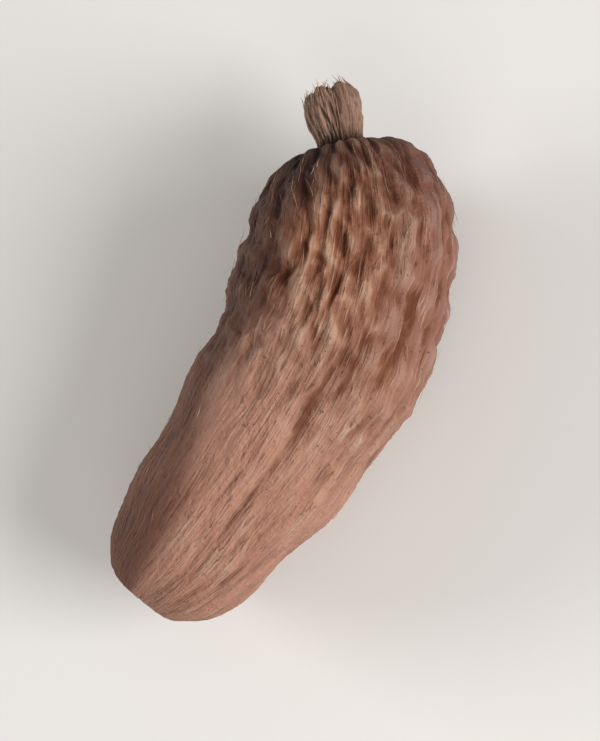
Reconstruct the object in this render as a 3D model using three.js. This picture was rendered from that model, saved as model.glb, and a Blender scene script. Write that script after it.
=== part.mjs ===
import * as THREE from 'three';
import { mergeVertices } from 'three/addons/utils/BufferGeometryUtils.js';

// A dried black cardamom pod lying on its side, in millimetres, with +Z up and +X towards the beak.
// It grew as one piece, so it is one solid: a blunt three-lobed husk, wider towards the beak and
// slightly bent, with ribs that are knobbly near the beak and low towards the other end, three
// shallow seams between the lobes, a round stalk scar at one end, and at the other the stub of the
// dried flower, which stands beside a fuller outer shoulder.

// Driving dimensions
const HUSK_LENGTH = 34;
const HUSK_WIDTH = 12.9;
const SPINE_HEIGHT = 6.2;
const NOSE_UP = THREE.MathUtils.degToRad(2.6);
const HALF_WIDTH = HUSK_WIDTH / 2;
const HALF_LENGTH = HUSK_LENGTH / 2;

// Grid of the skin: columns follow the ribs, rows follow the outline from scar to beak
const RIBS = 22;
const COLUMNS_PER_RIB = 4;
const COLUMNS = RIBS * COLUMNS_PER_RIB;
const ROWS = 66;

// Half outline, from inside the stalk scar to inside the mouth of the beak: the distance along the
// spine as a share of the husk's length, and the radius as a share of the husk's half width. The
// beak rises from a shallow ring-shaped dip
const OUTLINE = [
  [0.030, 0.00], [0.016, 0.14], [0.000, 0.27], [0.012, 0.46], [0.075, 0.69],
  [0.230, 0.86], [0.410, 0.97], [0.580, 1.02], [0.730, 1.02], [0.845, 0.91],
  [0.915, 0.70], [0.942, 0.50], [0.930, 0.34], [0.935, 0.25], [0.965, 0.21],
  [1.010, 0.26], [1.050, 0.26], [1.070, 0.20], [1.063, 0.10], [1.050, 0.00],
];

// The spine is three arcs in the XY plane, end to end: the almost straight lower half of the husk,
// its bent upper half, and the beak
const BASE_HEADING = -0.34;
const SPINE_ARCS = [
  { start: 0, end: 0.5 * HUSK_LENGTH, radius: 84 },
  { start: 0.5 * HUSK_LENGTH, end: 0.9 * HUSK_LENGTH, radius: 19.6 },
  { start: 0.9 * HUSK_LENGTH, end: 1.1 * HUSK_LENGTH, radius: 34 },
];

// The outer shoulder reaches past the beak's foot: sections lean by this slope towards that end
const SHOULDER_LEAN = 0.1;

// Lobes: angles are turned about the spine, from +Y towards +Z
const LOBES = 3;
const LOBE_TURN = THREE.MathUtils.degToRad(70);
const LOBE_SHARE = 0.065;
const SEAM_DEPTH = 0.34;
const SEAM_WIDTH = 0.75;
const SEAM_DRIFT = 0.005;

// Waves that set the ribs unevenly apart and make them wander: how many go round the pod, how far
// they turn the skin in radians, their drift in radians a millimetre, and where they start
const RIB_WAVES = [
  { round: 2, swing: 0.08, drift: 0.05, start: 4.6 },
  { round: 3, swing: 0.05, drift: -0.15, start: 2.0 },
  { round: 5, swing: 0.03, drift: 0.55, start: 0.0 },
  { round: 7, swing: 0.03, drift: -1.05, start: 0.8 },
];
const TWIST = 0.006;

// Ribs, and the pits in the furrows between them
const RIB_HEIGHT = 0.44;
const RIB_SHARPNESS = 1.3;
const LOW_RIB_SHARE = 0.24;
const TOOTH_LENGTH = 2.5;
const PIT_DEPTH = 0.34;
const LUMP_HEIGHT = 0.3;
const RELIEF_LIMIT = 0.16;
const BEAK_RELIEF_LIMIT = 0.07;

const HUSK_BROWN = new THREE.Color(0x926c5b);

const outline = new THREE.SplineCurve(
  OUTLINE.map(([along, radius]) => new THREE.Vector2(along * HUSK_LENGTH, radius * HALF_WIDTH)),
);

// A repeatable number from 0 to 1 for one rib and one of its traits
function draw(rib, trait) {
  const value = Math.sin(12.9898 * rib + 78.233 * trait) * 43758.5453;
  return value - Math.floor(value);
}

// Where a walk along a circular arc ends, and which way it then faces
function walkArc(start, radius, length) {
  const heading = start.heading + length / radius;
  return {
    x: start.x + radius * (Math.sin(heading) - Math.sin(start.heading)),
    y: start.y - radius * (Math.cos(heading) - Math.cos(start.heading)),
    heading,
  };
}

// The spine's point and heading at a distance from the scar
function spineAt(distance) {
  const scar = { x: 0, y: 0, heading: BASE_HEADING };
  return SPINE_ARCS.reduce((place, { start, end, radius }) => (
    walkArc(place, radius, THREE.MathUtils.clamp(distance, start, end) - start)
  ), scar);
}

// The angle about the spine of a column: ribs stand unevenly apart, and wander as they run
function turnOf(column, along) {
  const swings = RIB_WAVES.map(({ round, swing, drift, start }) => (
    swing * Math.sin(round * column + drift * along + start)
  ));
  return swings.reduce((total, swing) => total + swing, column + TWIST * along);
}

// Distance from the scar over the skin, which is shorter than along the spine inside its bend
function skinDistance(turn, along) {
  return along - HALF_WIDTH * Math.cos(turn) * (spineAt(along).heading - BASE_HEADING);
}

// How far a rib stands out at its crest: ragged along the skin, and low towards the scar
function ribHeight(rib, along, overSkin) {
  const start = HUSK_LENGTH * (0.18 + 0.28 * draw(rib, 1));
  const grown = THREE.MathUtils.smoothstep(along, start, start + 0.34 * HUSK_LENGTH);
  const length = TOOTH_LENGTH * (0.8 + 0.5 * draw(rib, 2));
  const tooth = Math.sin((2 * Math.PI * overSkin) / length + 2 * Math.PI * draw(rib, 3));
  const strength = 0.62 + 0.38 * draw(rib, 4);
  return RIB_HEIGHT * strength * (LOW_RIB_SHARE + grown * (0.5 - LOW_RIB_SHARE + 0.5 * tooth));
}

// How deep the furrow beside a rib sinks: a row of long pits where the ribs are tall
function pitDepth(furrow, along, overSkin) {
  const grown = THREE.MathUtils.smoothstep(along, 0.42 * HUSK_LENGTH, 0.76 * HUSK_LENGTH);
  const length = TOOTH_LENGTH * (1.0 + 0.6 * draw(furrow, 5));
  const wave = Math.cos((2 * Math.PI * overSkin) / length + 2 * Math.PI * draw(furrow, 6));
  return PIT_DEPTH * grown * (0.35 + 0.65 * wave) * (0.45 + 0.55 * draw(furrow, 7));
}

// The shallow seams between the lobes, deepest in the lower half
function seamDepth(turn, along, radius) {
  const lobeAngle = (2 * Math.PI) / LOBES;
  const middle = LOBE_TURN + lobeAngle / 2;
  const offMiddle = turn - middle - SEAM_DRIFT * (along - 0.37 * HUSK_LENGTH);
  const offSeam = offMiddle - lobeAngle * Math.round(offMiddle / lobeAngle);
  const across = (offSeam * radius) / SEAM_WIDTH;
  const shown = THREE.MathUtils.smoothstep(along, 0.03 * HUSK_LENGTH, 0.16 * HUSK_LENGTH)
    * (1 - THREE.MathUtils.smoothstep(along, 0.45 * HUSK_LENGTH, 0.62 * HUSK_LENGTH));
  return SEAM_DEPTH * shown * Math.exp(-across * across);
}

// Soft lumps where the husk has shrunk onto what it holds
function lumpHeight(turn, along) {
  return LUMP_HEIGHT * (
    Math.sin(2 * turn + 0.50 * along + 0.7) * Math.sin(0.36 * along - turn + 1.9)
    + 0.5 * Math.sin(4 * turn - 0.7 * along + 2.4)
  );
}

// One point of the skin: row from 0 at the scar to 1 in the beak's mouth, column an angle
function skinPoint(row, column) {
  const { x: along, y: radius } = outline.getPointAt(row);
  const turn = turnOf(column, along);
  const rib = Math.round((column * RIBS) / (2 * Math.PI)) % RIBS;
  const furrow = Math.floor((column * RIBS) / (2 * Math.PI)) % RIBS;
  const overSkin = skinDistance(turn, along);
  const wave = 0.5 + 0.5 * Math.cos(RIBS * column);
  const relief = ribHeight(rib, along, overSkin) * wave ** RIB_SHARPNESS
    - pitDepth(furrow, along, overSkin) * (1 - wave) ** 2
    - seamDepth(turn, along, radius)
    + lumpHeight(turn, along);
  const onBeak = THREE.MathUtils.smoothstep(along, 0.93 * HUSK_LENGTH, 0.98 * HUSK_LENGTH);
  const most = THREE.MathUtils.lerp(RELIEF_LIMIT, BEAK_RELIEF_LIMIT, onBeak) * radius;
  const stretch = 1 + LOBE_SHARE * Math.cos(LOBES * (turn - LOBE_TURN));
  const reach = radius * stretch + THREE.MathUtils.clamp(relief, -most, most);
  const lean = SHOULDER_LEAN * THREE.MathUtils.smoothstep(along, 0.5 * HUSK_LENGTH, 0.9 * HUSK_LENGTH);
  const across = reach * Math.cos(turn);
  const forward = -lean * across;
  const spine = spineAt(along);
  return new THREE.Vector3(
    spine.x + forward * Math.cos(spine.heading) - across * Math.sin(spine.heading),
    spine.y + forward * Math.sin(spine.heading) + across * Math.cos(spine.heading),
    reach * Math.sin(turn),
  );
}

// A sphere's grid gives the closed net of triangles, and each vertex moves to its place on the skin
function podGeometry() {
  const skin = new THREE.SphereGeometry(1, COLUMNS, ROWS);
  const position = skin.getAttribute('position');
  for (let i = 0; i < position.count; i += 1) {
    const row = Math.floor(i / (COLUMNS + 1));
    const column = (COLUMNS - (i % (COLUMNS + 1))) % COLUMNS;
    const point = skinPoint(row / ROWS, (2 * Math.PI * column) / COLUMNS);
    position.setXYZ(i, point.x, point.y, point.z);
  }
  skin.deleteAttribute('normal');
  skin.deleteAttribute('uv');
  return mergeVertices(skin);
}

// Sets the pod down on its side, on a small flat spot worn under its belly, with its box centred
function layDown(pod) {
  pod.rotateY(-NOSE_UP);
  pod.computeBoundingBox();
  const middle = pod.boundingBox.getCenter(new THREE.Vector3());
  pod.translate(-middle.x, -middle.y, SPINE_HEIGHT - HALF_LENGTH * Math.sin(NOSE_UP));
  const position = pod.getAttribute('position');
  for (let i = 0; i < position.count; i += 1) {
    position.setZ(i, Math.max(position.getZ(i), 0));
  }
  pod.computeVertexNormals();
  return pod;
}

const pod = new THREE.Mesh(
  layDown(podGeometry()),
  new THREE.MeshStandardMaterial({ color: HUSK_BROWN, roughness: 0.8, metalness: 0 }),
);
pod.name = 'pod';

const part = new THREE.Group();
part.add(pod);

export default part;
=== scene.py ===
"""Looks of a dried black cardamom pod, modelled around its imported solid. Lengths are in metres."""

import logging
import math
from dataclasses import dataclass, field
from enum import Enum
from typing import Any

import bpy
import numpy as np
from mathutils import Matrix, Vector


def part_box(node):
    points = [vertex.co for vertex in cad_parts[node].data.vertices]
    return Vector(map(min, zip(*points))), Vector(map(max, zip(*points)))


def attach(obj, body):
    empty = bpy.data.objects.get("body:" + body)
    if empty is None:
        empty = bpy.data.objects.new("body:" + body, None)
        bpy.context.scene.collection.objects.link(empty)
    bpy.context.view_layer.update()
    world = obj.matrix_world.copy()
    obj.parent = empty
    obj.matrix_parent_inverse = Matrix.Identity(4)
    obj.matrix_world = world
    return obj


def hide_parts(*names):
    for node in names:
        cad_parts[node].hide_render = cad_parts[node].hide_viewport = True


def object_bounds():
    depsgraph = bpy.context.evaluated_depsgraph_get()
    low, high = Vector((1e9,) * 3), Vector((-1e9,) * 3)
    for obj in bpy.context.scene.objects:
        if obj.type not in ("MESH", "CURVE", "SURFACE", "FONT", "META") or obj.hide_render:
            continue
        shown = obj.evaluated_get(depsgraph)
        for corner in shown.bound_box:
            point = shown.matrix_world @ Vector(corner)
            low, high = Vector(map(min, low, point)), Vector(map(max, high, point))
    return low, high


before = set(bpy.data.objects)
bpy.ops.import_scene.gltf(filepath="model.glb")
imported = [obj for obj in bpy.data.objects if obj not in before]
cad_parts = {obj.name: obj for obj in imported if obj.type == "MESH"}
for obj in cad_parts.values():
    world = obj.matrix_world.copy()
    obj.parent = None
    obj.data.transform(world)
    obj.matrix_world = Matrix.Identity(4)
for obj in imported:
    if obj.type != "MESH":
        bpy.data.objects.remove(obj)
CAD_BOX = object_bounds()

log = logging.getLogger("pod")

MM = 0.001
TAU = 2 * math.pi
ROOT = "root"
POD_NODE = "pod"

Array = np.ndarray


def smoothstep(value: Array, low: float, high: float) -> Array:
    """An even rise from 0 at low to 1 at high: share squared times (3 minus twice the share)."""
    share = np.clip((value - low) / (high - low), 0.0, 1.0)
    return share * share * (3 - 2 * share)


def rise_along(along: Array, length: float, span: tuple[float, float]) -> Array:
    """An even rise along the pod, over a span that is given in shares of its length."""
    return smoothstep(along, span[0] * length, span[1] * length)


def draw(number: Array, trait: int) -> Array:
    """A repeatable share from 0 to 1 for each numbered rib and one of its traits."""
    value = np.sin(12.9898 * number + 78.233 * trait) * 43758.5453
    return value - np.floor(value)


def blurred(field_values: Array, rows: int, columns: int) -> Array:
    """The mean of a skin field over a window that wraps round the pod and stops at its ends.

    Args:
        field_values: The field, with a row for each ring of the skin.
        rows: Rings that the window takes in on each side.
        columns: Columns that the window takes in on each side.

    Returns:
        The blurred field, of the same shape.
    """
    wrapped = np.pad(field_values, ((rows, rows), (0, 0)), mode="edge")
    wrapped = np.pad(wrapped, ((0, 0), (columns, columns)), mode="wrap")
    sums = np.pad(wrapped.cumsum(0).cumsum(1), ((1, 0), (1, 0)))
    tall = 2 * rows + 1
    wide = 2 * columns + 1
    window = sums[tall:, wide:] - sums[:-tall, wide:] - sums[tall:, :-wide] + sums[:-tall, :-wide]
    return window / (tall * wide)


def unit(vectors: Array) -> Array:
    """Vectors of the same directions and of length 1, or 0 where they have no length."""
    return vectors / np.maximum(np.linalg.norm(vectors, axis=-1, keepdims=True), 1e-12)


@dataclass(frozen=True)
class Hills:
    """Seeded rolling hills over the skin, a whole number of cells round the pod.

    Attributes:
        seed: Seed of the slopes at the cells' corners.
        around: Cells in one turn round the pod.
        length: Length of a cell along the pod.
        ring_count: Rings of corners before the slopes repeat along the pod.
        strength: Factor that brings the heights to about -1 to 1.
    """

    seed: int
    around: int
    length: float
    ring_count: int = 96
    strength: float = 1.6

    def height(self, turn: Array, along: Array) -> Array:
        """Gradient noise: each corner's slope times the way to it, blended by an even fade.

        Args:
            turn: Angle about the spine of each point.
            along: Distance from the scar of each point.

        Returns:
            Heights of about -1 to 1.
        """
        angles = np.random.default_rng(self.seed).uniform(0, TAU, (self.ring_count, self.around))
        column = turn * self.around / TAU
        row = along / self.length
        total = np.zeros_like(column)
        for far_row in (0, 1):
            for far_column in (0, 1):
                corner_row = np.floor(row) + far_row
                corner_column = np.floor(column) + far_column
                ring = corner_row.astype(int) % self.ring_count
                angle = angles[ring, corner_column.astype(int) % self.around]
                way_row = row - corner_row
                way_column = column - corner_column
                fade_row = 1 - smoothstep(np.abs(way_row), 0.0, 1.0)
                fade_column = 1 - smoothstep(np.abs(way_column), 0.0, 1.0)
                total += (np.cos(angle) * way_row + np.sin(angle) * way_column) * fade_row * fade_column
        return self.strength * total

    def crests(self, turn: Array, along: Array, width: float) -> Array:
        """Forking crests where the hills cross zero: a bell over the hills' height, of a given width."""
        return np.exp(-((self.height(turn, along) / width) ** 2))


@dataclass(frozen=True)
class Outline:
    """Half outline of the pod, from inside the stalk scar to inside the mouth of the beak.

    Attributes:
        length: Length of the husk along its spine.
        half_width: Half the husk's width below its ribs.
        points: Distance along the spine as a share of length, and radius as a share of half_width.
    """

    length: float
    half_width: float
    points: tuple[tuple[float, float], ...] = (
        (0.030, 0.00), (0.016, 0.14), (0.000, 0.27), (0.012, 0.46), (0.075, 0.69),
        (0.230, 0.86), (0.410, 0.97), (0.580, 1.02), (0.730, 1.02), (0.845, 0.91),
        (0.915, 0.70), (0.942, 0.50), (0.930, 0.34), (0.935, 0.25), (0.965, 0.21),
        (1.010, 0.26), (1.050, 0.26), (1.070, 0.20), (1.063, 0.10), (1.050, 0.00),
    )

    def curve(self, share: Array) -> Array:
        """Catmull-Rom spline through the points, each piece a cubic with the neighbours' mean slope.

        Args:
            share: Place on the curve, from 0 at its first point to 1 at its last, point by point.

        Returns:
            Distance along the spine and radius, in the last axis.
        """
        points = np.array(self.points) * (self.length, self.half_width)
        last = len(points) - 1
        place = np.clip(share, 0.0, 1.0) * last
        index = np.minimum(np.floor(place).astype(int), last)
        t = (place - index)[..., None]
        before = points[np.maximum(index - 1, 0)]
        start = points[index]
        end = points[np.minimum(index + 1, last)]
        after = points[np.minimum(index + 2, last)]
        slope_start = (end - before) / 2
        slope_end = (after - start) / 2
        cubic = 2 * (start - end) + slope_start + slope_end
        square = 3 * (end - start) - 2 * slope_start - slope_end
        return cubic * t**3 + square * t**2 + slope_start * t + start

    def by_length(self, share: Array) -> tuple[Array, Array]:
        """Places spread evenly by the curve's own length.

        Args:
            share: Share of the curve's length, from 0 to 1.

        Returns:
            Distance along the spine, and radius.
        """
        steps = np.linspace(0, 1, 201)
        ends = self.curve(steps)
        lengths = np.concatenate(([0.0], np.linalg.norm(np.diff(ends, axis=0), axis=1).cumsum()))
        place = self.curve(np.interp(share, lengths / lengths[-1], steps))
        return place[..., 0], place[..., 1]


@dataclass(frozen=True)
class Spine:
    """The bent middle line of the pod: three arcs, end to end.

    Attributes:
        length: Length of the husk along its spine.
        heading: Direction at the scar, in radians from +X towards +Y.
        arcs: Start and end of each arc as shares of length, and its radius.
    """

    length: float
    heading: float = -0.34
    arcs: tuple[tuple[float, float, float], ...] = (
        (0.0, 0.5, 84 * MM),
        (0.5, 0.9, 19.6 * MM),
        (0.9, 1.1, 34 * MM),
    )

    def at(self, distance: Array) -> tuple[Array, Array, Array]:
        """Point and heading after a walk along the arcs: each turns the heading by length over radius.

        Args:
            distance: Distance from the scar.

        Returns:
            x, y and heading.
        """
        x = np.zeros_like(distance)
        y = np.zeros_like(distance)
        heading = np.full_like(distance, self.heading)
        for start, end, radius in self.arcs:
            walked = np.clip(distance, start * self.length, end * self.length) - start * self.length
            turned = heading + walked / radius
            x = x + radius * (np.sin(turned) - np.sin(heading))
            y = y + radius * (np.cos(heading) - np.cos(turned))
            heading = turned
        return x, y, heading


@dataclass(frozen=True)
class Spots:
    """Where the points of a net are on the pod, with an array for each way to say it.

    Attributes:
        column: Angle by which the ribs stand evenly apart.
        turn: Angle about the spine, from +Y towards +Z.
        along: Distance from the scar along the spine.
        over_skin: The same over the skin.
        radius: Radius of the outline.
        share: Share of the outline's own length, from 0 inside the scar to 1 inside the mouth.
    """

    column: Array
    turn: Array
    along: Array
    over_skin: Array
    radius: Array
    share: Array


@dataclass(frozen=True)
class CoarseRelief:
    """The ribs, pits, seams and lumps that the solid has too.

    Attributes:
        length: Length of the husk along its spine, of which starts and ends below are shares.
        ribs, lobes: How many go round the pod.
        lobe_turn: Angle about the spine of the first lobe's middle.
        lobe_share: How far a lobe stands out, as a share of the radius.
        seam_depth, seam_width: Depth of the seams between lobes, and their half width.
        seam_drift, seam_middle: Angle by which seams turn in a metre, and where they lie midway.
        seam_start, seam_end: The spans over which they set in and fade.
        rib_height, rib_sharpness: Height of the strongest rib, and the power that narrows crests.
        rib_start, rib_delay, rib_rise: Where the first rib starts to grow, how much later the last
            may start, and over how long a share a rib grows.
        low_rib_share: Share of its height that a rib has before it grows.
        tooth_length: Mean length of the teeth along the ribs.
        pit_depth, pit_start: Depth of the deepest pits, and the span over which they set in.
        lump_height: Height of the lumps.
        twist: Angle by which the ribs turn in a metre.
        rib_waves: Waves that make the ribs wander: crests in a turn, swing in radians, drift in
            radians a millimetre, and start.
    """

    length: float
    ribs: int = 22
    lobes: int = 3
    lobe_turn: float = math.radians(70)
    lobe_share: float = 0.065
    seam_depth: float = 0.34 * MM
    seam_width: float = 0.75 * MM
    seam_drift: float = 0.005 / MM
    seam_middle: float = 0.37
    seam_start: tuple[float, float] = (0.03, 0.16)
    seam_end: tuple[float, float] = (0.45, 0.62)
    rib_height: float = 0.44 * MM
    rib_sharpness: float = 1.3
    rib_start: float = 0.18
    rib_delay: float = 0.28
    rib_rise: float = 0.34
    low_rib_share: float = 0.24
    tooth_length: float = 2.5 * MM
    pit_depth: float = 0.34 * MM
    pit_start: tuple[float, float] = (0.42, 0.76)
    lump_height: float = 0.3 * MM
    twist: float = 0.006 / MM
    rib_waves: tuple[tuple[int, float, float, float], ...] = (
        (2, 0.08, 0.05, 4.6),
        (3, 0.05, -0.15, 2.0),
        (5, 0.03, 0.55, 0.0),
        (7, 0.03, -1.05, 0.8),
    )

    def turn(self, column: Array, along: Array) -> Array:
        """The column's angle, plus waves that set the ribs unevenly apart, plus a slow twist."""
        waves = sum(
            swing * np.sin(around * column + drift * along / MM + start)
            for around, swing, drift, start in self.rib_waves
        )
        return column + waves + self.twist * along

    def stretch(self, turn: Array) -> Array:
        """How much wider or narrower than round the section is: a cosine with three crests a turn."""
        return 1 + self.lobe_share * np.cos(self.lobes * (turn - self.lobe_turn))

    def rib(self, spots: Spots) -> Array:
        """Rib height: a crest for each rib, toothed by a sine, growing from its own start.

        Args:
            spots: Where the points are.

        Returns:
            Height of the rib at each point.
        """
        number = np.round(spots.column * self.ribs / TAU) % self.ribs
        start = self.length * (self.rib_start + self.rib_delay * draw(number, 1))
        grown = smoothstep(spots.along, start, start + self.rib_rise * self.length)
        tooth_length = self.tooth_length * (0.8 + 0.5 * draw(number, 2))
        tooth = np.sin(TAU * (spots.over_skin / tooth_length + draw(number, 3)))
        strength = 0.62 + 0.38 * draw(number, 4)
        low = self.low_rib_share
        crest = (0.5 + 0.5 * np.cos(self.ribs * spots.column)) ** self.rib_sharpness
        return self.rib_height * strength * (low + grown * (0.5 - low + 0.5 * tooth)) * crest

    def pit(self, spots: Spots) -> Array:
        """Depth of the rows of long pits between the ribs: a cosine along each furrow.

        Args:
            spots: Where the points are.

        Returns:
            Depth of the pit at each point.
        """
        number = np.floor(spots.column * self.ribs / TAU) % self.ribs
        grown = rise_along(spots.along, self.length, self.pit_start)
        pit_length = self.tooth_length * (1.0 + 0.6 * draw(number, 5))
        wave = np.cos(TAU * (spots.over_skin / pit_length + draw(number, 6)))
        strength = (0.35 + 0.65 * wave) * (0.45 + 0.55 * draw(number, 7))
        floor_share = (0.5 - 0.5 * np.cos(self.ribs * spots.column)) ** 2
        return self.pit_depth * grown * strength * floor_share

    def seam(self, spots: Spots) -> Array:
        """Depth of the shallow seams between lobes: a bell across each, shown in the lower half.

        Args:
            spots: Where the points are.

        Returns:
            Depth of the seam at each point.
        """
        lobe_angle = TAU / self.lobes
        middle = self.lobe_turn + lobe_angle / 2
        off_middle = spots.turn - middle - self.seam_drift * (spots.along - self.seam_middle * self.length)
        off_seam = off_middle - lobe_angle * np.round(off_middle / lobe_angle)
        across = off_seam * spots.radius / self.seam_width
        shown = rise_along(spots.along, self.length, self.seam_start)
        shown = shown * (1 - rise_along(spots.along, self.length, self.seam_end))
        return self.seam_depth * shown * np.exp(-across * across)

    def lump(self, spots: Spots) -> Array:
        """Soft lumps where the husk has shrunk onto what it holds: a product of sines, plus one.

        Args:
            spots: Where the points are.

        Returns:
            Height of the lumps at each point.
        """
        turn = spots.turn
        way = spots.along / MM
        broad = np.sin(2 * turn + 0.50 * way + 0.7) * np.sin(0.36 * way - turn + 1.9)
        narrow = 0.5 * np.sin(4 * turn - 0.7 * way + 2.4)
        return self.lump_height * (broad + narrow)

    def height(self, spots: Spots) -> Array:
        """Ribs less pits and seams, plus lumps."""
        return self.rib(spots) - self.pit(spots) - self.seam(spots) + self.lump(spots)


@dataclass(frozen=True)
class FineRelief:
    """What the solid is too coarse for: forking ridges, wrinkles, knobs, fibres and creases.

    Attributes:
        length: Length of the husk along its spine.
        start: Where the knobbly part starts and where it is whole, as shares of length.
        ridge_height, wrinkle_height, knob_height, fibre_height, crease_depth, grain_height: How far
            each layer stands out or sinks.
        crest_level: Mean of a layer of narrow crests, taken off so that it adds no bulk.
        sway_angle: How far the layers sway sideways, in radians.
        ridges, wrinkles, knobs, fibres, creases, grain, sway: Hills of the layers. Ridges, wrinkles
            and fibres run where their hills cross zero.
    """

    length: float
    start: tuple[float, float] = (0.34, 0.68)
    ridge_height: float = 0.12 * MM
    wrinkle_height: float = 0.10 * MM
    knob_height: float = 0.11 * MM
    fibre_height: float = 0.055 * MM
    crease_depth: float = 0.06 * MM
    grain_height: float = 0.035 * MM
    crest_level: float = 0.4
    sway_angle: float = 0.06
    ridges: Hills = Hills(seed=11, around=30, length=2.2 * MM)
    wrinkles: Hills = Hills(seed=23, around=62, length=1.7 * MM)
    knobs: Hills = Hills(seed=37, around=27, length=1.5 * MM)
    fibres: Hills = Hills(seed=41, around=132, length=5.5 * MM)
    creases: Hills = Hills(seed=53, around=20, length=0.55 * MM)
    grain: Hills = Hills(seed=67, around=150, length=0.36 * MM)
    sway: Hills = Hills(seed=61, around=9, length=2.6 * MM)

    def height(self, spots: Spots) -> Array:
        """Sum of the layers: narrow forking ridges and wrinkles, knobs, fibres, cross creases, grain.

        Args:
            spots: Where the points are.

        Returns:
            Height that the layers add at each point.
        """
        way = spots.over_skin
        swayed = spots.turn + self.sway_angle * self.sway.height(spots.turn, way)
        grown = rise_along(spots.along, self.length, self.start)
        ridge_crests = self.ridges.crests(swayed, way, 0.24) - self.crest_level
        wrinkle_crests = self.wrinkles.crests(swayed, way, 0.26) - self.crest_level
        fibre_crests = self.fibres.crests(swayed, way, 0.3) - self.crest_level
        ridge = self.ridge_height * (0.15 + 0.85 * grown) * ridge_crests
        wrinkle = self.wrinkle_height * (0.25 + 0.75 * grown) * wrinkle_crests
        knob = self.knob_height * grown * self.knobs.height(swayed, way)
        fibre = self.fibre_height * fibre_crests
        grain = self.grain_height * self.grain.height(spots.turn, way)
        crease = self.crease_depth * (0.3 + 0.7 * grown) * self.creases.height(swayed, way)
        return ridge + wrinkle + knob + fibre + crease + grain


@dataclass
class Skin:
    """A net of points over the whole pod, with what the finish needs to know at each.

    Attributes:
        points: x, y and z of each point, by ring and column.
        crest: 0 in the deepest furrows to 1 on the highest crests.
        place: Share of the outline's own length, from 0 inside the scar to 1 inside the mouth.
        fibre: Coordinates of the unbent, unlobed pod, in which the fibres run along x.
    """

    points: Array
    crest: Array
    place: Array
    fibre: Array


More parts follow.
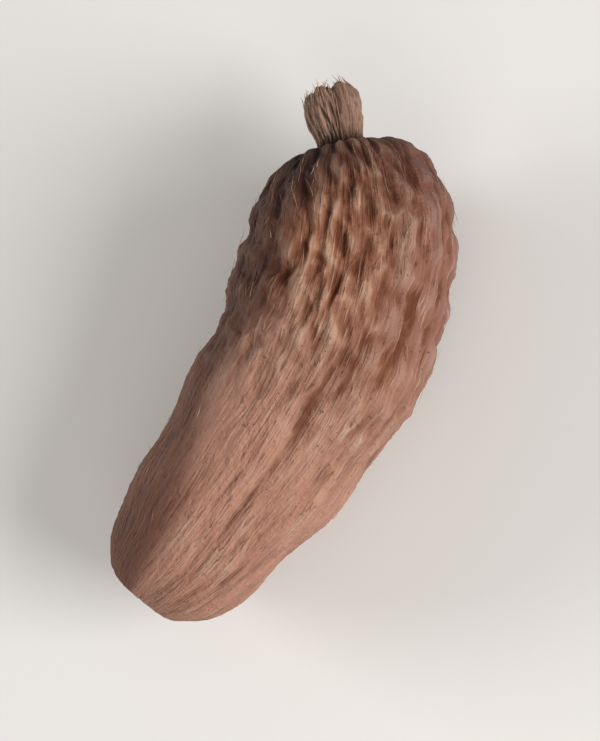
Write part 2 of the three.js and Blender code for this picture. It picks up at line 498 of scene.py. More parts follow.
@dataclass
class Husk:
    """The whole fruit: lobed husk, ribs, beak and scar, as one closed skin.

    Attributes:
        length, half_width: The husk's length along its spine, and half its width below its ribs.
        spine_height: Height of the spine's middle above the surface that the pod lies on.
        nose_up: How far the pod lies pitched up towards its beak.
        shoulder_lean: Slope by which sections lean towards the outer shoulder.
        relief_limit, beak_relief_limit: The most that relief may reach on the husk and on the beak,
            as a share of the outline's radius.
        beak_start, lean_start: Shares of length over which the husk passes into the beak, and over
            which the lean sets in.
        softened: Share of the coarse relief that is left beneath the fine one.
        crest_reach: Height above its neighbourhood's mean at which a point counts as all crest.
        tear_depth: How far the beak's mouth is torn back or frayed forward.
        rim_place, rim_width: Middle and half width of the torn band on the outline.
        solid_grid, fine_grid: Rings and columns of the solid's own net, and of the shown one.
        outline, spine: The half outline, and the bent middle line.
        coarse, fine: The relief that the solid has too, and the relief that only the shown net has.
    """

    length: float = 34 * MM
    half_width: float = 6.45 * MM
    spine_height: float = 6.2 * MM
    nose_up: float = math.radians(2.6)
    shoulder_lean: float = 0.1
    relief_limit: float = 0.16
    beak_relief_limit: float = 0.07
    beak_start: tuple[float, float] = (0.93, 0.98)
    lean_start: tuple[float, float] = (0.5, 0.9)
    softened: float = 0.76
    crest_reach: float = 0.34 * MM
    tear_depth: float = 0.55 * MM
    rim_place: float = 0.958
    rim_width: float = 0.014
    solid_grid: tuple[int, int] = (66, 88)
    fine_grid: tuple[int, int] = (264, 374)
    outline: Outline = field(init=False)
    spine: Spine = field(init=False)
    coarse: CoarseRelief = field(init=False)
    fine: FineRelief = field(init=False)

    def __post_init__(self) -> None:
        """Gives the outline, spine and reliefs the husk's sizes."""
        self.outline = Outline(self.length, self.half_width)
        self.spine = Spine(self.length)
        self.coarse = CoarseRelief(self.length)
        self.fine = FineRelief(self.length)

    def spots(self, grid: tuple[int, int]) -> Spots:
        """Where a net's points are: rings even by the outline's length, columns even by angle. The
        distance over the skin is that along the spine, less the way saved inside the spine's bend.

        Args:
            grid: Rings and columns.

        Returns:
            The spots, by ring and column, with the poles as whole rings.
        """
        rings, columns = grid
        share = np.repeat(np.linspace(0, 1, rings + 1)[:, None], columns, axis=1)
        column = np.repeat((TAU * np.arange(columns) / columns)[None, :], rings + 1, axis=0)
        along, radius = self.outline.by_length(share)
        turn = self.coarse.turn(column, along)
        bent = self.spine.at(along)[2] - self.spine.heading
        over_skin = along - self.half_width * np.cos(turn) * bent
        return Spots(column, turn, along, over_skin, radius, share)

    def relief(self, spots: Spots, fine: bool) -> Array:
        """The coarse relief, held within its limit, and on the fine net softened below the fine one.

        Args:
            spots: Where the points are.
            fine: Whether the fine relief is added.

        Returns:
            Height above the smooth lobed form.
        """
        on_beak = rise_along(spots.along, self.length, self.beak_start)
        most = (self.relief_limit + (self.beak_relief_limit - self.relief_limit) * on_beak) * spots.radius
        coarse = np.clip(self.coarse.height(spots), -most, most)
        if not fine:
            return coarse
        return self.softened * coarse + np.clip(self.fine.height(spots), -most, 0.75 * most)

    def net(self, grid: tuple[int, int], fine: bool) -> Skin:
        """Skin before it is laid down: at each spot, the outline's radius, stretched by the lobes and
        raised by the relief, set off from the spine, with the leaning shoulder.

        Args:
            grid: Rings and columns.
            fine: Whether the fine relief and the torn mouth are added.

        Returns:
            The skin, with its poles as whole rings at one place.
        """
        spots = self.spots(grid)
        relief = self.relief(spots, fine)
        reach = spots.radius * self.coarse.stretch(spots.turn) + relief
        across = reach * np.cos(spots.turn)
        forward = -self.shoulder_lean * rise_along(spots.along, self.length, self.lean_start) * across
        if fine:
            forward = forward + self.tear_depth * self.tears(spots)
        x, y, heading = self.spine.at(spots.along)
        points = np.stack(
            (
                x + forward * np.cos(heading) - across * np.sin(heading),
                y + forward * np.sin(heading) + across * np.cos(heading),
                reach * np.sin(spots.turn),
            ),
            axis=-1,
        )
        # Crest is height over the neighbourhood's mean; the finish keeps its low values dark, partly as
        # painted shade.
        off_mean = relief - blurred(relief, rows=5, columns=14)
        crest = np.clip(0.5 + 0.5 * off_mean / self.crest_reach, 0.0, 1.0)
        unbent = (spots.over_skin, self.half_width * np.cos(spots.turn), self.half_width * np.sin(spots.turn))
        return Skin(points, crest, spots.share, np.stack(unbent, axis=-1))

    def tears(self, spots: Spots) -> Array:
        """Ragged edge of the mouth: coarse and fine hills round the beak, in a bell about its rim.

        Args:
            spots: Where the points are.

        Returns:
            Shift towards the tip, from about -1 to 1.
        """
        turn = spots.turn
        coarse = Hills(seed=71, around=7, length=1.0).height(turn, np.full_like(turn, 0.3))
        narrow = Hills(seed=73, around=19, length=1.0).height(turn, np.full_like(turn, 0.4))
        bell = np.exp(-(((spots.share - self.rim_place) / self.rim_width) ** 2))
        return (0.9 * coarse + 0.6 * narrow) * bell

    def pitch(self, points: Array) -> Array:
        """Turns points about Y by the nose-up angle.

        Args:
            points: x, y and z in the last axis.

        Returns:
            The turned points.
        """
        x, y, z = np.moveaxis(points, -1, 0)
        cosine = math.cos(self.nose_up)
        sine = math.sin(self.nose_up)
        return np.stack((cosine * x - sine * z, y, sine * x + cosine * z), axis=-1)

    def laid(self, skin: Skin) -> Skin:
        """Lays a skin down as the solid lies: pitched, centred as its net is, and worn flat below.

        Args:
            skin: A skin as net makes it.

        Returns:
            The same skin, in the solid's frame.
        """
        solid = self.pitch(self.net(self.solid_grid, fine=False).points).reshape(-1, 3)
        middle = (solid.min(axis=0) + solid.max(axis=0)) / 2
        lift = self.spine_height - self.length / 2 * math.sin(self.nose_up)
        points = self.pitch(skin.points) - (middle[0], middle[1], -lift)
        points[..., 2] = np.maximum(points[..., 2], 0.0)
        return Skin(points, skin.crest, skin.place, skin.fibre)

    def skin(self) -> Skin:
        """The shown skin, laid down."""
        return self.laid(self.net(self.fine_grid, fine=True))

    def misfit(self) -> float:
        """How well the formulas repeat the solid's.

        Returns:
            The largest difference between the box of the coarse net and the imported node's.
        """
        coarse = self.laid(self.net(self.solid_grid, fine=False)).points.reshape(-1, 3)
        low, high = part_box(POD_NODE)
        below = np.abs(coarse.min(axis=0) - np.array(low)).max()
        above = np.abs(coarse.max(axis=0) - np.array(high)).max()
        return float(max(below, above))

    def build(self, skin: Skin) -> bpy.types.Object:
        """Makes the husk's mesh: quads between rings, with a fan of triangles at each pole.

        Args:
            skin: The shown skin.

        Returns:
            The husk, at the origin, with its attributes crest, place and fibre.
        """
        rings, columns = self.fine_grid
        inner = (rings - 1) * columns
        number = 1 + np.arange(inner).reshape(rings - 1, columns)
        beyond = np.roll(number, -1, axis=1)
        quads = np.stack((number[:-1], beyond[:-1], beyond[1:], number[1:]), axis=-1).reshape(-1, 4)
        first_fan = np.stack((np.zeros(columns, int), beyond[0], number[0]), axis=-1)
        last_fan = np.stack((np.full(columns, inner + 1), number[-1], beyond[-1]), axis=-1)

        def flat(values: Array) -> Array:
            """One value for each vertex: the first pole, the rings between, the last pole."""
            between = values[1:-1].reshape(-1, *values.shape[2:])
            return np.concatenate((values[:1, 0], between, values[-1:, 0]))

        faces = [*quads.tolist(), *first_fan.tolist(), *last_fan.tolist()]
        mesh = new_mesh("husk", flat(skin.points), faces)
        for name, values in {"crest": skin.crest, "place": skin.place, "fibre": skin.fibre}.items():
            add_attribute(mesh, name, flat(values))
        return new_object("husk", mesh)


@dataclass(frozen=True)
class Growth:
    """A group of strands: where they are rooted and how they stand.

    Attributes:
        count: Number of strands.
        places: Least and greatest place of the roots on the outline.
        lengths: Least and greatest length.
        thickness: Radius at the root.
        run: How far a strand runs along the pod, as a share of its length; negative runs to the scar.
        lift: How far its tip stands off the skin, as a share of its length.
        least_crest: The lowest crest value at which a strand may be rooted.
    """

    count: int
    places: tuple[float, float]
    lengths: tuple[float, float]
    thickness: float
    run: float
    lift: float
    least_crest: float = 0.0


@dataclass
class Strands:
    """Loose fibres of the husk: hairs along the ribs, and frayed ends at the mouth and the scar.

    Attributes:
        skin: The husk's laid skin, on which the strands are rooted.
        seed: Seed of the roots and shapes.
        steps, sides: Rings of a strand, and sides of a ring.
        sunk: How deep the roots sit in the husk.
        curl: Spread of the sideways curl, as a share of a strand's length.
        tries: Places tried for each strand, of which the fitting ones are taken in order.
        lowest_root, lowest_point: Least height of a root, and of any point of a strand.
        growths: The groups: hairs towards the beak, hairs back, the mouth's fringe, the scar's fringe.
    """

    skin: Skin
    seed: int = 83
    steps: int = 7
    sides: int = 3
    sunk: float = 0.05 * MM
    curl: float = 0.22
    tries: int = 12
    lowest_root: float = 1 * MM
    lowest_point: float = 0.05 * MM
    growths: tuple[Growth, ...] = (
        Growth(210, (0.16, 0.78), (0.5 * MM, 1.7 * MM), 0.024 * MM, 1.0, 0.13, least_crest=0.55),
        Growth(80, (0.30, 0.78), (0.4 * MM, 1.2 * MM), 0.022 * MM, -1.0, 0.16, least_crest=0.55),
        Growth(54, (0.948, 0.964), (0.4 * MM, 1.1 * MM), 0.045 * MM, 1.0, 0.25),
        Growth(34, (0.035, 0.060), (0.2 * MM, 0.6 * MM), 0.040 * MM, -1.0, 0.35),
    )

    def directions(self) -> tuple[Array, Array]:
        """Directions on the skin, from the differences between rings and between columns once it is
        smoothed.

        Returns:
            Unit vectors along the pod and off its skin, at each point.
        """
        points = self.skin.points
        smooth = np.stack([blurred(points[..., axis], rows=4, columns=6) for axis in range(3)], axis=-1)
        along = np.gradient(smooth, axis=0)
        round_pod = np.roll(smooth, -4, axis=1) - np.roll(smooth, 4, axis=1)
        return unit(along), unit(np.cross(round_pod, along))

    def roots(self, growth: Growth, rng: np.random.Generator) -> tuple[Array, Array]:
        """Draws the places of one group's roots, on crests and clear of the surface below.

        Args:
            growth: The group.
            rng: Source of the seeded numbers.

        Returns:
            Ring and column of each root.
        """
        rings, columns = self.skin.crest.shape
        ring = (rng.uniform(*growth.places, growth.count * self.tries) * (rings - 1)).astype(int)
        column = rng.integers(0, columns, growth.count * self.tries)
        fits = self.skin.crest[ring, column] >= growth.least_crest
        fits &= self.skin.points[ring, column, 2] > self.lowest_root
        return ring[fits][: growth.count], column[fits][: growth.count]

    def grown(self, growth: Growth, rng: np.random.Generator, along: Array, off: Array) -> Array:
        """Strands of one group: from the root, a straight run along the pod, plus a lift off the skin
        and a sideways curl that both grow with the square of the way, and a radius that tapers.

        Args:
            growth: The group.
            rng: Source of the seeded numbers.
            along: Unit vectors along the pod.
            off: Unit vectors off the skin.

        Returns:
            Vertices by strand, ring and side.
        """
        ring, column = self.roots(growth, rng)
        count = len(ring)
        length = rng.uniform(*growth.lengths, count)[:, None, None]
        curl = rng.normal(0, self.curl, count)[:, None, None]
        lift = growth.lift * rng.uniform(0.3, 1.0, count)[:, None, None]
        way = np.linspace(0, 1, self.steps)[None, :, None]
        forth = growth.run * along[ring, column][:, None]
        outward = off[ring, column][:, None]
        sideways = np.cross(forth, outward)
        root = self.skin.points[ring, column][:, None] - outward * self.sunk
        rise = outward * (self.sunk * 1.4 * np.minimum(way * 4, 1) + lift * length * way**2)
        centre = root + forth * length * way + rise + sideways * curl * length * way**2
        angle = (TAU * np.arange(self.sides) / self.sides)[None, None, :, None]
        radius = growth.thickness * (1 - 0.8 * way**1.5)[..., None]
        spoke = np.cos(angle) * outward[:, :, None] + np.sin(angle) * sideways[:, :, None]
        return centre[:, :, None] + radius * spoke

    def build(self) -> bpy.types.Object:
        """Makes the strands' mesh: a three-sided tube for each, closed at both ends.

        Returns:
            The strands, at the origin.
        """
        rng = np.random.default_rng(self.seed)
        along, off = self.directions()
        tubes = np.concatenate([self.grown(growth, rng, along, off) for growth in self.growths])
        tubes[..., 2] = np.maximum(tubes[..., 2], self.lowest_point)
        number = np.arange(tubes[..., 0].size).reshape(tubes.shape[:3])
        beyond = np.roll(number, -1, axis=2)
        walls = np.stack((number[:, :-1], beyond[:, :-1], beyond[:, 1:], number[:, 1:]), axis=-1)
        roots = number[:, 0, ::-1]
        tips = number[:, -1]
        faces = [*walls.reshape(-1, 4).tolist(), *roots.tolist(), *tips.tolist()]
        return new_object("strands", new_mesh("strands", tubes.reshape(-1, 3), faces))


def new_mesh(name: str, points: Array, faces: list[list[int]]) -> bpy.types.Mesh:
    """Makes a smooth mesh.

    Args:
        name: Name of the mesh.
        points: Vertices, one row each.
        faces: Vertex numbers of each face, anticlockwise as seen from outside.

    Returns:
        The mesh.
    """
    mesh = bpy.data.meshes.new(name)
    mesh.from_pydata(points.tolist(), [], faces)
    mesh.polygons.foreach_set("use_smooth", np.ones(len(mesh.polygons), bool))
    mesh.update()
    return mesh


def add_attribute(mesh: bpy.types.Mesh, name: str, values: Array) -> None:
    """Stores one number or vector for each vertex, under a name that a finish can read.

    Args:
        mesh: The mesh.
        name: Name of the attribute.
        values: The numbers, or the vectors in rows.
    """
    kind, key = ("FLOAT", "value") if values.ndim == 1 else ("FLOAT_VECTOR", "vector")
    attribute = mesh.attributes.new(name, kind, "POINT")
    attribute.data.foreach_set(key, values.astype(np.float32).ravel())


def new_object(name: str, data: bpy.types.ID | None) -> bpy.types.Object:
    """Puts an object into the scene, at the origin.

    Args:
        name: Name of the object.
        data: Its mesh, light or camera.

    Returns:
        The object.
    """
    made = bpy.data.objects.new(name, data)
    bpy.context.scene.collection.objects.link(made)
    return made


class Blend(Enum):
    """How two colours are put together."""

    MIX = "MIX"
    MULTIPLY = "MULTIPLY"


class Tree:
    """Builds one material out of nodes."""

    def __init__(self, name: str) -> None:
        """Makes the material, with an empty tree.

        Args:
            name: Name of the material.
        """
        self.material = bpy.data.materials.new(name)
        self.material.use_nodes = True
        self.nodes = self.material.node_tree.nodes
        self.links = self.material.node_tree.links
        self.nodes.clear()

    def node(self, kind: str, settings: dict[str, Any] | None = None, **sockets: Any) -> bpy.types.Node:
        """Adds one node.

        Args:
            kind: Blender's type name of the node.
            settings: Properties of the node, set before its sockets.
            **sockets: Value or link of each input, its name's spaces written as underscores.

        Returns:
            The node.
        """
        made = self.nodes.new(kind)
        for name, value in (settings or {}).items():
            setattr(made, name, value)
        for name, value in sockets.items():
            self.feed(made.inputs[name.replace("_", " ")], value)
        return made

    def feed(self, socket: bpy.types.NodeSocket, value: Any) -> None:
        """Links a socket to another socket or a wrapped number, or sets its value.

        Args:
            socket: The input to feed.
            value: What it is fed with.
        """
        if isinstance(value, Number):
            value = value.socket
        if isinstance(value, bpy.types.NodeSocket):
            self.links.new(value, socket)
        else:
            socket.default_value = value

    def number(self, name: str) -> "Number":
        """Reads a number that the mesh holds for each vertex."""
        return Number(self, self.node("ShaderNodeAttribute", {"attribute_name": name}).outputs["Fac"])

    def vector(self, name: str) -> bpy.types.NodeSocket:
        """Reads a vector that the mesh holds for each vertex."""
        return self.node("ShaderNodeAttribute", {"attribute_name": name}).outputs["Vector"]

    def drawn_out(self, vector: bpy.types.NodeSocket, share: float) -> bpy.types.NodeSocket:
        """Shrinks a vector's x, so that a noise read there is drawn out along x.

        Args:
            vector: The vector.
            share: What is left of x.

        Returns:
            The shrunk vector.
        """
        made = self.node("ShaderNodeVectorMath", {"operation": "MULTIPLY"})
        self.feed(made.inputs[0], vector)
        self.feed(made.inputs[1], (share, 1.0, 1.0))
        return made.outputs[0]

    def noise(self, vector: bpy.types.NodeSocket, scale: float, detail: float, rough: float) -> "Number":
        """Noise of about 0 to 1, with its cells in a metre, finer layers, and strength of each layer."""
        made = self.node("ShaderNodeTexNoise", Vector=vector, Scale=scale, Detail=detail, Roughness=rough)
        return Number(self, made.outputs["Fac"])

    def veins(self, vector: bpy.types.NodeSocket, scale: float, width: float) -> "Number":
        """Thin forking lines where a noise is within a width of its middle value: 1 on them, 0 beside."""
        off_middle = (self.noise(vector, scale, 2.0, 0.5) - 0.5).worked("ABSOLUTE")
        return off_middle.rise(width, 0.0)

    def mix(self, share: Any, first: Any, second: Any, blend: Blend = Blend.MIX) -> bpy.types.NodeSocket:
        """Puts two colours together.

        Args:
            share: Strength of the second colour, from 0 to 1.
            first: The first colour.
            second: The second colour.
            blend: How they are put together.

        Returns:
            The mixed colour.
        """
        made = self.node("ShaderNodeMix", {"data_type": "RGBA", "blend_type": blend.value})
        self.feed(made.inputs[0], share)
        self.feed(made.inputs[6], first)
        self.feed(made.inputs[7], second)
        return made.outputs[2]

    def finished(self, **sockets: Any) -> bpy.types.Material:
        """Ends the tree in one Principled shader.

        Args:
            **sockets: Value or link of the shader's inputs.

        Returns:
            The material.
        """
        surface = self.node("ShaderNodeBsdfPrincipled", **sockets)
        self.node("ShaderNodeOutputMaterial", Surface=surface.outputs[0])
        return self.material


class Number:
    """A number that varies over a surface: Python operators on it add Math nodes."""

    def __init__(self, tree: Tree, socket: bpy.types.NodeSocket) -> None:
        """Wraps a socket of the tree."""
        self.tree = tree
        self.socket = socket

    def worked(self, operation: str, *values: Any) -> "Number":
        """Adds a Math node.

        Args:
            operation: Blender's name of the operation.
            *values: Its inputs, in order.

        Returns:
            The node's result.
        """
        made = self.tree.node("ShaderNodeMath", {"operation": operation})
        for socket, value in zip(made.inputs, values):
            self.tree.feed(socket, value)
        return Number(self.tree, made.outputs[0])

    def __add__(self, other: Any) -> "Number":
        """This plus other."""
        return self.worked("ADD", self, other)

    def __sub__(self, other: Any) -> "Number":
        """This less other."""
        return self.worked("SUBTRACT", self, other)

    def __mul__(self, other: Any) -> "Number":
        """This times other."""
        return self.worked("MULTIPLY", self, other)

    def __rsub__(self, other: Any) -> "Number":
        """Other less this."""
        return self.worked("SUBTRACT", other, self)

    __radd__ = __add__
    __rmul__ = __mul__

    def rise(self, low: float, high: float) -> "Number":
        """An even rise from 0 where this is low to 1 where it is high, also where low is the higher.

        Args:
            low: Value at which the rise starts.
            high: Value at which it ends.

        Returns:
            The risen share, from 0 to 1.
        """
        made = self.tree.node(
            "ShaderNodeMapRange",
            {"interpolation_type": "SMOOTHSTEP"},
            Value=self, From_Min=min(low, high), From_Max=max(low, high),
        )
        risen = Number(self.tree, made.outputs[0])
        return risen if low < high else 1 - risen


Colour = tuple[float, float, float, float]


def colour(red: int, green: int, blue: int) -> Colour:
    """Turns a colour as the eye sees it into the linear values that shaders take.

    Args:
        red: Red, from 0 to 255.
        green: Green.
        blue: Blue.

    Returns:
        The linear red, green and blue, and full opacity.
    """
    shares = (value / 255 for value in (red, green, blue))
    linear = (share / 12.92 if share <= 0.04045 else ((share + 0.055) / 1.055) ** 2.4 for share in shares)
    return (*linear, 1.0)


class HuskPatterns:
    """What varies over the husk: numbers of about 0 to 1, most of them drawn out along the fibres."""

    def __init__(self, tree: Tree, fibre_radius: float) -> None:
        """Reads the husk's attributes and makes the noises.

        Args:
            tree: Tree of the husk's material.
            fibre_radius: Distance of the fibre coordinates from the unbent pod's axis.
        """
        self.tree = tree
        self.fibre_radius = fibre_radius
        fibre = tree.vector("fibre")
        self.sides = tree.node("ShaderNodeSeparateXYZ", Vector=fibre)
        self.crest = tree.number("crest")
        self.place = tree.number("place")
        self.lower = self.place.rise(0.64, 0.28)
        self.upper = self.place.rise(0.44, 0.60)
        # shoulder: the upper end, which the finish darkens with painted shade.
        self.shoulder = self.place.rise(0.64, 0.80)
        self.hairline = tree.noise(tree.drawn_out(fibre, 0.05), 8200.0, 2.0, 0.6)
        self.fine_fibres = tree.noise(tree.drawn_out(fibre, 0.07), 3900.0, 3.0, 0.6)
        self.broad_fibres = tree.noise(tree.drawn_out(fibre, 0.13), 1400.0, 2.0, 0.55)
        self.patches = tree.noise(fibre, 150.0, 2.0, 0.5)
        self.warmth = tree.noise(tree.drawn_out(fibre, 0.5), 260.0, 2.0, 0.5)
        self.grit = tree.noise(fibre, 3600.0, 2.0, 0.6)
        self.flakes = tree.noise(tree.drawn_out(fibre, 0.6), 900.0, 3.0, 0.65)
        self.cracks = tree.veins(tree.drawn_out(fibre, 0.16), 1000.0, 0.04)
        self.threads = tree.veins(tree.drawn_out(fibre, 0.10), 1500.0, 0.03)
        mottle = tree.noise(tree.drawn_out(fibre, 0.5), 520.0, 3.0, 0.6)
        uneven = self.crest + (mottle - 0.5) * 0.75 + (self.broad_fibres - 0.5) * 0.65
        self.height = uneven - self.upper * 0.08

    def toward(self, degrees: float) -> Number:
        """How far the skin faces a direction off the spine.

        Args:
            degrees: Angle of the direction about the spine, from +Y towards +Z.

        Returns:
            Cosine of the angle between the two.
        """
        turn = math.radians(degrees)
        across = Number(self.tree, self.sides.outputs["Y"]) * (math.cos(turn) / self.fibre_radius)
        return across + Number(self.tree, self.sides.outputs["Z"]) * (math.sin(turn) / self.fibre_radius)


@dataclass(frozen=True)
class HuskFinish:
    """Dry, dusty, fibrous husk: pale pinkish crests, dark red-brown furrows, fine fibres. The furrows'
    dark is partly painted shade; painted shade also darkens the far flank, the shoulder and the dip
    round the stub's foot, and a painted highlight lightens the upper middle.

    Attributes:
        furrow, body, crest: Colours from the deep furrows up to the crests; the furrows' dark is partly the
            husk's own and partly painted shade.
        taupe: Greyer body below the knobbly part.
        blush: Pinkish tan of the smoother lower part.
        dust, warm: Greyish bloom on the crests, and red-brown of some patches.
        straw, speck: Colours of the palest fibres and of the small dark specks.
        stub: Colour of the dried flower stub.
        foot_shade_and_scar: Painted shade in the dip round the stub's foot, and the dark colour of the scar.
        olive, mauve: Yellowish brown of the upper part's middle, partly a painted highlight, and greyish pink
            of its near side, partly painted shade.
        painted_shade: Painted shade of the far flank and shoulder, multiplied onto what lies below.
        fibre_radius: Distance of the fibre coordinates from the unbent pod's axis.
        roughness, sheen, gloss: Mean roughness, weight of the sheen, level of the sharp reflection.
        bump_depth: Height that the bump's patterns stand for.
    """

    furrow: Colour = colour(84, 43, 22)
    body: Colour = colour(120, 77, 57)
    taupe: Colour = colour(126, 90, 74)
    crest: Colour = colour(143, 111, 95)
    blush: Colour = colour(168, 122, 102)
    dust: Colour = colour(164, 146, 128)
    straw: Colour = colour(188, 160, 142)
    stub: Colour = colour(158, 126, 107)
    foot_shade_and_scar: Colour = colour(62, 33, 22)
    warm: Colour = colour(134, 84, 58)
    olive_highlight: Colour = colour(166, 132, 104)
    mauve_shade: Colour = colour(120, 85, 77)
    painted_shade: Colour = colour(146, 122, 108)
    speck: Colour = colour(44, 26, 19)
    fibre_radius: float = 6.45 * MM
    roughness: float = 0.76
    sheen: float = 0.04
    gloss: float = 0.18
    bump_depth: float = 0.4 * MM

    def layers(self, seen: HuskPatterns) -> list[tuple[Any, ...]]:
        """What lies over the furrows' colour, in turn: body and crests, which leave the furrows dark, partly
        as painted shade; the lower part's blush, a dusty bloom and warm patches; the upper part's
        yellowish middle, partly a painted highlight, and greyish pink near side, partly painted shade;
        fibres, threads, cracks and specks; painted shade on the far flank, strongest above and at both
        ends, and on the shoulder; the stub, painted shade in the dip round its foot, and the scar.

        Args:
            seen: The husk's patterns.

        Returns:
            Share and colour of each layer, and its blend where that isn't a plain mix.
        """
        height = seen.height
        place = seen.place
        lower = seen.lower
        upper = seen.upper
        body = seen.tree.mix(place.rise(0.62, 0.44), self.body, self.taupe)
        # Paler yellowish crests on the side facing up and a little towards the near side: partly the husk's
        # own hue, partly a painted highlight.
        highlit_side = (seen.toward(130) + (seen.warmth - 0.5) * 0.6).rise(0.72, 0.98)
        # Greyish pink on the upper part's near side: partly its own hue, partly painted shade.
        shaded_near_side = (seen.toward(185) + (seen.warmth - 0.5) * 0.5).rise(0.55, 0.95)
        streaks = seen.hairline.rise(0.55, 0.72) * seen.fine_fibres.rise(0.45, 0.6)
        # Painted shade: the far flank is darkened, more above, at the shoulder and towards the scar, broken
        # by patches.
        shaded_side = seen.toward(0) + upper * 0.2 + seen.shoulder * 0.3 + place.rise(0.42, 0.12) * 0.45
        far_flank_shade = shaded_side.rise(0.04, 0.50) * (0.55 + seen.toward(90).rise(-0.5, 0.4) * 0.45)
        return [
            # Body and crests over the furrows' dark colour, which stays in the furrows partly as painted
            # shade.
            (height.rise(0.06, 0.46) * (1 - lower * 0.3) + lower * 0.3, body),
            (height.rise(0.42, 0.86), self.crest),
            (lower * 0.6 * height.rise(0.1, 0.6), self.blush),
            (seen.patches.rise(0.50, 0.72) * height.rise(0.4, 0.9) * 0.65, self.dust),
            (seen.warmth.rise(0.52, 0.70) * 0.35, self.warm),
            # Yellowish middle: partly the husk's own hue, partly a painted highlight.
            (upper * highlit_side * height.rise(0.35, 0.75) * 0.45, self.olive_highlight),
            # Greyish pink near side: partly its own hue, partly painted shade.
            (upper * shaded_near_side * height.rise(0.1, 0.6) * 0.6, self.mauve_shade),
            (seen.fine_fibres.rise(0.58, 0.34) * (0.3 - lower * 0.15), self.furrow),
            (streaks * (0.5 - lower * 0.2), self.straw),
            (seen.threads * seen.flakes.rise(0.45, 0.6) * 0.4, self.straw),
            (seen.cracks * seen.flakes.rise(0.6, 0.45) * (0.6 - lower * 0.3), self.furrow),
            (seen.grit.rise(0.66, 0.74) * 0.7, self.speck),
            # Painted shade, multiplied on: the far flank, then the shoulder.
            (far_flank_shade * (0.65 + seen.patches * 0.5), self.painted_shade, Blend.MULTIPLY),
            (seen.shoulder * 0.6, self.painted_shade, Blend.MULTIPLY),
            (place.rise(0.870, 0.895) * 0.75 * seen.fine_fibres.rise(0.28, 0.5), self.stub),
            # Painted shade in the dip round the stub's foot, then the scar's dark colour.
            (place.rise(0.800, 0.835) * place.rise(0.895, 0.870) * 0.8, self.foot_shade_and_scar),
            (place.rise(0.050, 0.030) * 0.7, self.foot_shade_and_scar),
        ]

    def bump(self, seen: HuskPatterns) -> bpy.types.NodeSocket:
        """Normal of the fibres, grit, flakes and threads that stand up, and the cracks that sink.

        Args:
            seen: The husk's patterns.

        Returns:
            The normal.
        """
        fibres = seen.broad_fibres * 0.3 + seen.fine_fibres * 0.35 + seen.hairline * 0.3
        height = fibres + seen.grit * 0.3 + seen.flakes * 0.4 + seen.threads * 0.12 - seen.cracks * 0.25
        made = seen.tree.node("ShaderNodeBump", Strength=1.0, Distance=self.bump_depth, Height=height)
        return made.outputs[0]

    def make(self) -> bpy.types.Material:
        """Builds the material.

        Returns:
            The material, named for the husk.
        """
        tree = Tree("husk_finish")
        seen = HuskPatterns(tree, self.fibre_radius)
        shade = self.furrow
        for share, paint, *blend in self.layers(seen):
            shade = tree.mix(share, shade, paint, *blend)
        return tree.finished(
            Base_Color=shade,
            Roughness=self.roughness + (seen.fine_fibres - 0.5) * 0.3 - seen.crest * 0.06,
            Normal=self.bump(seen),
            Sheen_Weight=self.sheen,
            Sheen_Roughness=0.5,
            Specular_IOR_Level=self.gloss,
        )


@dataclass(frozen=True)
class StrandFinish:
    """Dull straw-brown fibres, paler and darker along the pod.

    Attributes:
        pale: Colour of the palest fibres.
        dark: Colour of the darkest fibres.
        roughness: Roughness of the fibres.
    """

    pale: Colour = colour(178, 142, 116)
    dark: Colour = colour(96, 66, 50)
    roughness: float = 0.7

    def make(self) -> bpy.types.Material:
        """Builds the material.

        Returns:
            The material, named for the strands.
        """
        tree = Tree("strand_finish")
        place = tree.node("ShaderNodeTexCoord").outputs["Object"]
        shade = tree.mix(tree.noise(place, 900.0, 2.0, 0.6).rise(0.3, 0.7), self.dark, self.pale)
        return tree.finished(Base_Color=shade, Roughness=self.roughness)


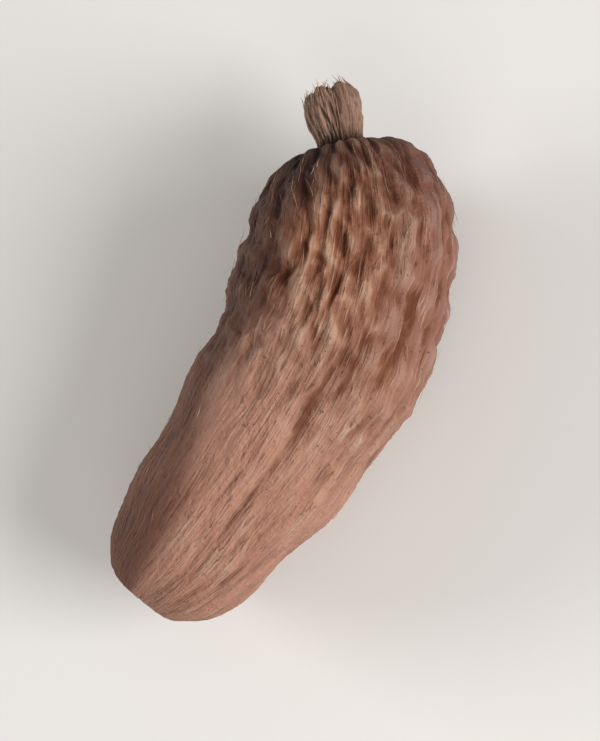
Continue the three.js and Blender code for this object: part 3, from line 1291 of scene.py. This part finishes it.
@dataclass
class Studio:
    """Pale floor, soft lights and the camera that looks down on the pod as the photograph does.

    Attributes:
        elevation: Height of the line of sight above the horizon.
        lean: How far the pod's long axis leans right of the picture's vertical.
        lens, sensor: Focal length of the camera and width of its sensor, in millimetres.
        share: Share of the picture's height that the pod takes.
        aim: Point that the lights face.
        floor_radius, floor_sides: Radius and sides of the round floor.
        pale, sky_strength: Colour of the floor and the sky, and the sky's brightness.
    """

    elevation: float = math.radians(66)
    lean: float = math.radians(24.6)
    lens: float = 135.0
    sensor: float = 36.0
    share: float = 0.80
    aim: tuple[float, float, float] = (0.0, 0.0, 6 * MM)
    floor_radius: float = 0.9
    floor_sides: int = 96
    pale: Colour = colour(216, 213, 209)
    sky_strength: float = 0.44

    def axes(self) -> tuple[Vector, Vector, Vector]:
        """Axes of the view from the -Y side, rolled so that +X leans.

        Returns:
            Right, up and back of the camera.
        """
        back = Vector((0, -math.cos(self.elevation), math.sin(self.elevation)))
        level_right = Vector((1, 0, 0))
        level_up = back.cross(level_right)
        cosine = math.sin(self.lean)
        sine = math.cos(self.lean)
        right = cosine * level_right - sine * level_up
        up = sine * level_right + cosine * level_up
        return right, up, back

    def camera(self) -> None:
        """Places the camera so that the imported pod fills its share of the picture."""
        right, up, back = self.axes()
        low, high = CAD_BOX
        data = bpy.data.cameras.new("camera")
        data.lens = self.lens
        data.sensor_width = self.sensor
        data.clip_start = 0.01
        data.clip_end = 5.0
        reach = (high - low).length * math.cos(self.lean)
        distance = reach / self.share * self.lens / self.sensor
        made = new_object("camera", data)
        turned = Matrix((right, up, back)).transposed().to_4x4()
        made.matrix_world = Matrix.Translation((low + high) / 2 + back * distance) @ turned
        bpy.context.scene.camera = made

    def light(self, name: str, place: Vector, size: float, power: float) -> None:
        """Adds a square soft light that faces the pod and that no camera sees.

        Args:
            name: Name of the light.
            place: Where it stands.
            size: Length of its sides.
            power: Its power in watts.
        """
        data = bpy.data.lights.new(name, "AREA")
        data.size = size
        data.energy = power
        made = new_object(name, data)
        made.visible_camera = False
        facing = (Vector(self.aim) - place).to_track_quat("-Z", "Y")
        made.matrix_world = Matrix.Translation(place) @ facing.to_matrix().to_4x4()

    def lights(self) -> None:
        """A key from the picture's right, a weak fill from below, a far light for the views from behind
        and a pale sky."""
        right, up, back = self.axes()
        self.light("key_light", right * 0.42 - up * 0.06 + back * 0.46, size=0.36, power=5.7)
        self.light("fill_light", -right * 0.05 - up * 0.24 + back * 0.34, size=0.30, power=0.35)
        self.light("far_light", Vector((-0.28, 0.95, 0.28)), size=0.52, power=10.0)
        world = bpy.data.worlds.new("sky")
        world.use_nodes = True
        sky = world.node_tree.nodes["Background"]
        sky.inputs["Color"].default_value = self.pale
        sky.inputs["Strength"].default_value = self.sky_strength
        bpy.context.scene.world = world

    def floor(self) -> bpy.types.Object:
        """A round pale floor: one face on z 0, with its corners evenly round a circle.

        Returns:
            The floor.
        """
        angle = TAU * np.arange(self.floor_sides) / self.floor_sides
        rim = np.stack((np.cos(angle), np.sin(angle), np.zeros_like(angle)), axis=-1) * self.floor_radius
        mesh = new_mesh("floor", rim, [list(range(self.floor_sides))])
        mesh.materials.append(Tree("floor_finish").finished(Base_Color=self.pale, Roughness=0.9))
        return new_object("floor", mesh)

    def build(self) -> None:
        """Sets up the camera, lights and floor."""
        self.camera()
        self.lights()
        self.floor()
        bpy.context.scene.view_settings.view_transform = "Standard"


def main() -> None:
    """Builds the pod and the studio, and says where each piece belongs."""
    logging.basicConfig(level=logging.INFO, format="%(name)s: %(message)s")
    Studio().build()
    husk_parts = Husk()
    skin = husk_parts.skin()
    husk = husk_parts.build(skin)
    husk.data.materials.append(HuskFinish().make())
    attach(husk, ROOT)
    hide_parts(POD_NODE)
    log.info("husk: %d faces, %.4f mm off the solid's box", len(husk.data.polygons), husk_parts.misfit() / MM)
    strands = Strands(skin).build()
    strands.data.materials.append(StrandFinish().make())
    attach(strands, ROOT)
    log.info("strands: %d faces", len(strands.data.polygons))


if __name__ == "__main__":
    main()
